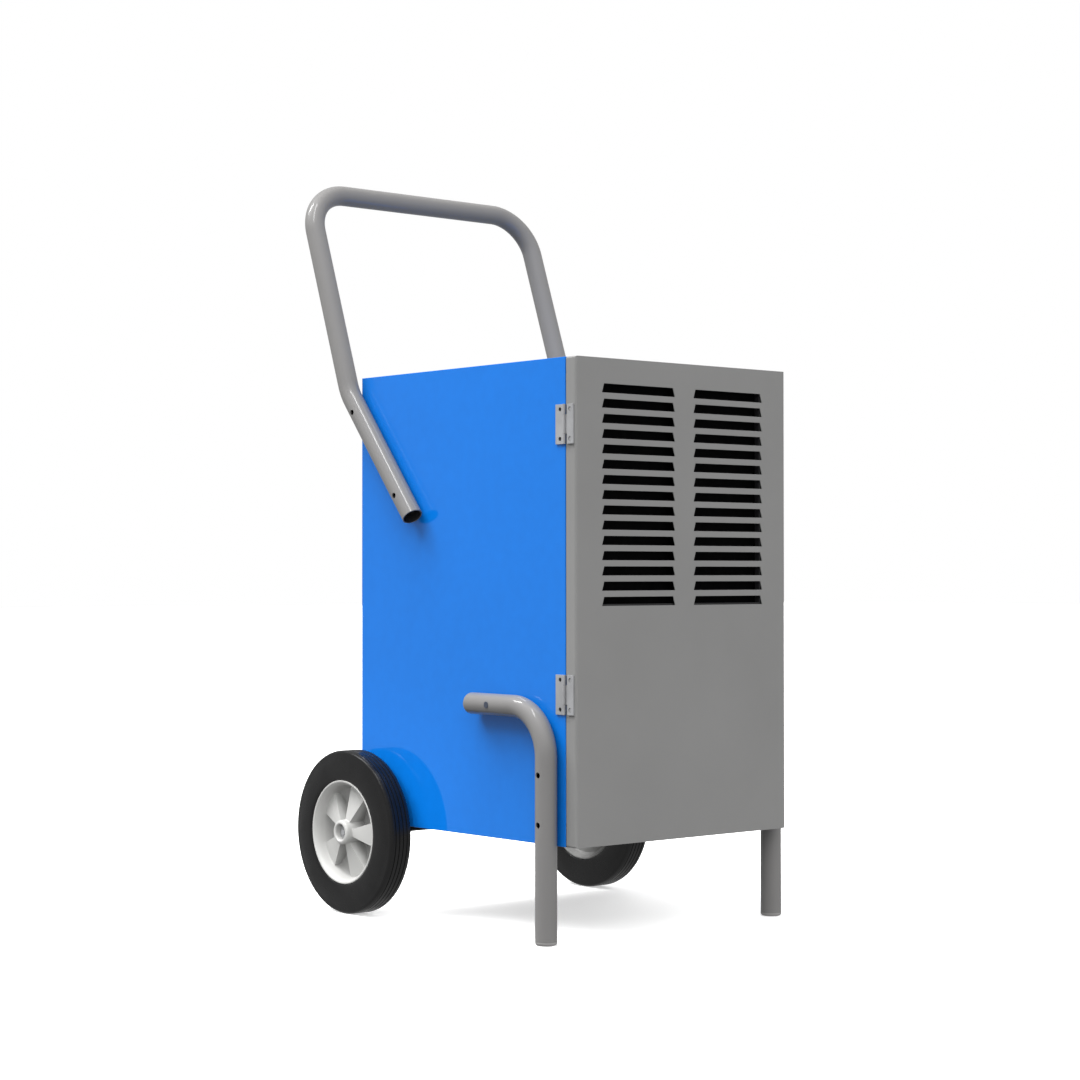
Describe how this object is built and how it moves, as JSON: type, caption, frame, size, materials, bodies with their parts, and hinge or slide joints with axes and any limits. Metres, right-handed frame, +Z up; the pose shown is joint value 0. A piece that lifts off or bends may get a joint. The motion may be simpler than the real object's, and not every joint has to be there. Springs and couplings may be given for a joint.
{
  "type": "commercial dehumidifier",
  "caption": "Wheeled steel-cabinet dehumidifier with a hinged louvred front door, bent-tube push handle, tube legs, rear outlet grille and pull-out water tank.",
  "frame": {"origin": "on the floor, under the centre of the bounding box", "axes": "+Z up, -Y towards the front door, +X to the right of a person facing the door"},
  "size_m": [0.548, 0.6612, 1.1674],
  "materials": {
    "blue_paint": "smooth satin paint",
    "grey_paint": "smooth satin paint",
    "tube_paint": "gloss powder coat",
    "foot_plastic": "moulded",
    "dark_steel": "black paint",
    "galvanised_steel": "galvanised sheet",
    "zinc_plate": "zinc plated",
    "black_oxide": "blackened",
    "blued_steel": "blued",
    "black_plastic": "fine grain",
    "magnet_ferrite": "cased magnet",
    "filter_net": "woven net",
    "hub_plastic": "moulded",
    "tyre_rubber": "moulded rubber",
    "fin_aluminium": "mill finish",
    "copper": "bare copper tube",
    "black_enamel": "gloss enamel",
    "grommet_rubber": "moulded",
    "motor_paint": "satin paint",
    "tray_plastic": "moulded",
    "hose_rubber": "soft hose",
    "display_glass": "smoked",
    "green_key": "moulded",
    "grey_key": "moulded",
    "circuit_board": "solder mask",
    "red_rocker": "moulded"
  },
  "bodies": {
    "cabinet": {"base_tray": "dark_steel", "left_side_panel": "blue_paint", "right_side_panel": "blue_paint", "top_cover": "blue_paint", "rear_panel": "grey_paint", "divider_shelf": "galvanised_steel", "tank_bulkhead": "galvanised_steel", "panel_screws": "zinc_plate", "hinge_body_leaves": "zinc_plate", "hinge_pins": "dark_steel", "hinge_body_screws": "black_oxide", "door_magnets": "magnet_ferrite", "handle_tube": "tube_paint", "left_leg_tube": "tube_paint", "right_leg_tube": "tube_paint", "leg_foot_plugs": "foot_plastic", "tube_screws": "blued_steel", "axle": "zinc_plate", "axle_brackets": "dark_steel", "axle_spacers": "dark_steel", "axle_end_screws": "zinc_plate", "evaporator_fins": "fin_aluminium", "evaporator_coil": "copper", "condenser_fins": "fin_aluminium", "condenser_coil": "copper", "coil_end_plates": "galvanised_steel", "compressor": "black_enamel", "compressor_grommets": "grommet_rubber", "suction_pipe": "copper", "discharge_pipe": "copper", "filter_drier": "copper", "capillary_tube": "copper", "fan_shroud": "galvanised_steel", "fan_motor": "motor_paint", "fan_motor_bracket": "galvanised_steel", "drip_tray": "tray_plastic", "drain_hose": "hose_rubber", "float_switch": "black_plastic", "control_panel": "black_plastic", "display_window": "display_glass", "control_board": "circuit_board", "power_inlet": "black_plastic", "rocker_bezel": "black_plastic"},
    "door": {"front_door": "grey_paint", "hinge_door_leaves": "zinc_plate", "hinge_door_screws": "zinc_plate", "filter_frame": "black_plastic", "filter_mesh": "filter_net"},
    "left_wheel": {"left_wheel_hub": "hub_plastic", "left_tyre": "tyre_rubber"},
    "right_wheel": {"right_wheel_hub": "hub_plastic", "right_tyre": "tyre_rubber"},
    "fan": {"fan_impeller": "black_plastic"},
    "tank": {"water_tank": "tray_plastic"},
    "float": {"tank_float": "black_plastic"},
    "power_key": {"power_button": "green_key"},
    "up_key": {"up_button": "grey_key"},
    "down_key": {"down_button": "grey_key"},
    "timer_key": {"timer_button": "grey_key"},
    "rocker": {"rocker_switch": "red_rocker"}
  },
  "joints": [
    {"name": "door_hinge", "type": "hinge", "parent": "cabinet", "child": "door", "pos_m": [-0.2157, -0.30753, 0.49], "axis": [0, 0, -1], "range_deg": [0, 110]},
    {"name": "left_wheel_spin", "type": "hinge", "parent": "cabinet", "child": "left_wheel", "pos_m": [-0.2485, 0.15987, 0.127], "axis": [1, 0, 0], "continuous": true},
    {"name": "right_wheel_spin", "type": "hinge", "parent": "cabinet", "child": "right_wheel", "pos_m": [0.2485, 0.15987, 0.127], "axis": [1, 0, 0], "continuous": true},
    {"name": "fan_spin", "type": "hinge", "parent": "cabinet", "child": "fan", "pos_m": [0, -0.12263, 0.64], "axis": [0, 1, 0], "continuous": true},
    {"name": "tank_slide", "type": "slide", "parent": "cabinet", "child": "tank", "axis": [0, 1, 0], "range_m": [0, 0.2]},
    {"name": "float_rise", "type": "slide", "parent": "tank", "child": "float", "axis": [0, 0, 1], "range_m": [0, 0.15]},
    {"name": "power_press", "type": "slide", "parent": "cabinet", "child": "power_key", "axis": [0, 0, -1], "range_m": [0, 0.0015], "stiffness_N_per_m": 400, "springref_m": -0.002},
    {"name": "up_press", "type": "slide", "parent": "cabinet", "child": "up_key", "axis": [0, 0, -1], "range_m": [0, 0.0015], "stiffness_N_per_m": 400, "springref_m": -0.002},
    {"name": "down_press", "type": "slide", "parent": "cabinet", "child": "down_key", "axis": [0, 0, -1], "range_m": [0, 0.0015], "stiffness_N_per_m": 400, "springref_m": -0.002},
    {"name": "timer_press", "type": "slide", "parent": "cabinet", "child": "timer_key", "axis": [0, 0, -1], "range_m": [0, 0.0015], "stiffness_N_per_m": 400, "springref_m": -0.002},
    {"name": "rocker_tilt", "type": "hinge", "parent": "cabinet", "child": "rocker", "pos_m": [-0.088, 0.18587, 0.452], "axis": [-1, 0, 0], "range_deg": [0, 16]}
  ]
}
